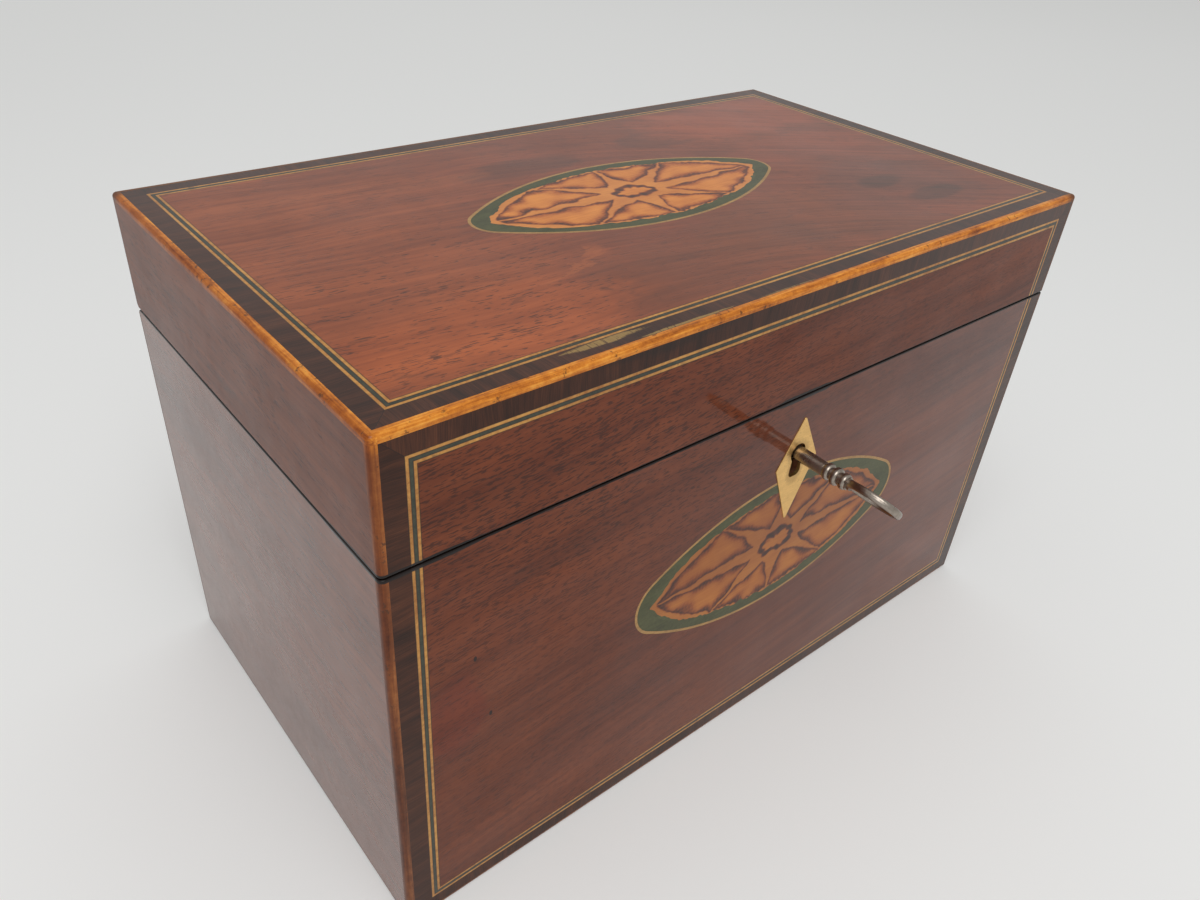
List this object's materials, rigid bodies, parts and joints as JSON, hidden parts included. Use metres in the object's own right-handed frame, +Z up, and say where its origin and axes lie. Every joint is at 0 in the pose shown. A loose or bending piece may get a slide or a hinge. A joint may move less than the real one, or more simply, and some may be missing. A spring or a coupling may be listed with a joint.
{
  "type": "tea caddy",
  "caption": "Hinged wooden tea caddy with inlaid oval patera, crossbanding, brass diamond keyhole plate, turning lock key, covered tea compartments and a lift-out glass mixing bowl.",
  "frame": {"origin": "middle of the flat underside that it rests on", "axes": "+Z up; the keyhole front faces -Y; the hinges are along the top of the back at +Y; +X is the viewer's right when looking at the front"},
  "size_m": [0.26, 0.1833, 0.1625],
  "materials": {
    "carcass_wood": "plain oiled mahogany board",
    "base_wood": "dry unpolished pine board, darkened",
    "top_mahogany": "French-polished reddish mahogany veneer",
    "front_mahogany": "French-polished reddish mahogany veneer",
    "side_mahogany": "French-polished plain mahogany veneer",
    "kingwood": "polished dark crossbanding",
    "boxwood_lines": "polished boxwood line",
    "green_lines": "polished dark green stained line",
    "green_band": "polished green stained band",
    "boxwood_edging": "polished amber edging, rounded by wear",
    "patera_ground": "polished pale satinwood",
    "patera_petals": "polished satinwood with scorched edges",
    "escutcheon_brass": "worn satin brass",
    "key_steel": "worn dark steel",
    "hinge_brass": "aged brass",
    "lock_brass": "aged brass",
    "lock_steel": "dark steel",
    "screw_steel": "dull steel",
    "fitting_wood": "polished mahogany",
    "cover_wood": "polished mahogany",
    "knob_bone": "turned bone, slightly yellowed",
    "lining_wood": "polished mahogany lining",
    "foil": "dull grey foil",
    "bowl_glass": "clear blown and cut glass"
  },
  "bodies": {
    "box": {"bowl_deck": "fitting_wood", "box_back_board": "carcass_wood", "box_bottom_board": "base_wood", "box_boxwood_lines": "boxwood_lines", "box_crossbands": "kingwood", "box_edging": "boxwood_edging", "box_front_board": "carcass_wood", "box_front_veneer": "front_mahogany", "box_green_lines": "green_lines", "box_left_board": "carcass_wood", "box_plain_veneers": "side_mahogany", "box_right_board": "carcass_wood", "box_screws": "screw_steel", "escutcheon": "escutcheon_brass", "foil_linings": "foil", "front_patera_green_band": "green_band", "front_patera_ground": "patera_ground", "front_patera_line": "boxwood_lines", "front_patera_petals": "patera_petals", "hinge_box_leaves": "hinge_brass", "hinge_pins": "hinge_brass", "ledges": "fitting_wood", "lock_cap": "lock_brass", "lock_case": "lock_brass", "lock_drill_pin": "lock_steel", "lock_selvedge": "lock_brass", "lock_spring": "lock_steel", "partitions": "fitting_wood"},
    "lid": {"hinge_lid_leaves": "hinge_brass", "lid_back_board": "carcass_wood", "lid_boxwood_lines": "boxwood_lines", "lid_crossbands": "kingwood", "lid_edging": "boxwood_edging", "lid_front_board": "carcass_wood", "lid_front_veneer": "front_mahogany", "lid_green_lines": "green_lines", "lid_left_board": "carcass_wood", "lid_lining": "lining_wood", "lid_patera_green_band": "green_band", "lid_patera_ground": "patera_ground", "lid_patera_line": "boxwood_lines", "lid_patera_petals": "patera_petals", "lid_plain_veneers": "side_mahogany", "lid_right_board": "carcass_wood", "lid_screws": "screw_steel", "lid_top_board": "carcass_wood", "lid_top_veneer": "top_mahogany", "link_hooks": "lock_brass", "link_plate": "lock_brass"},
    "key": {"key": "key_steel"},
    "bolt": {"lock_bolt": "lock_steel"},
    "bowl": {"glass_bowl": "bowl_glass"},
    "left_cover": {"left_cover_board": "cover_wood", "left_cover_knob": "knob_bone", "left_cover_line": "boxwood_lines"},
    "right_cover": {"right_cover_board": "cover_wood", "right_cover_knob": "knob_bone", "right_cover_line": "boxwood_lines"}
  },
  "joints": [
    {"name": "lid_hinge", "type": "hinge", "parent": "box", "child": "lid", "pos_m": [0, 0.071, 0.1275], "axis": [-1, 0, 0], "range_deg": [0, 95]},
    {"name": "key_turn", "type": "hinge", "parent": "box", "child": "key", "pos_m": [0.004, -0.0735, 0.1074], "axis": [0, -1, 0], "range_deg": [-47, 313]},
    {"name": "bolt_slide", "type": "slide", "parent": "box", "child": "bolt", "axis": [-1, 0, 0], "range_m": [-0.00097, 0.00649]},
    {"name": "left_cover_lift", "type": "slide", "parent": "box", "child": "left_cover", "axis": [0, 0, 1], "range_m": [0, 0.02]},
    {"name": "right_cover_lift", "type": "slide", "parent": "box", "child": "right_cover", "axis": [0, 0, 1], "range_m": [0, 0.02]},
    {"name": "bowl_lift", "type": "slide", "parent": "box", "child": "bowl", "axis": [0, 0, 1], "range_m": [0, 0.02]}
  ],
  "couplings": [
    {"joint": "key_turn", "follows": "bolt_slide", "rad_per_m": 840.44}
  ]
}
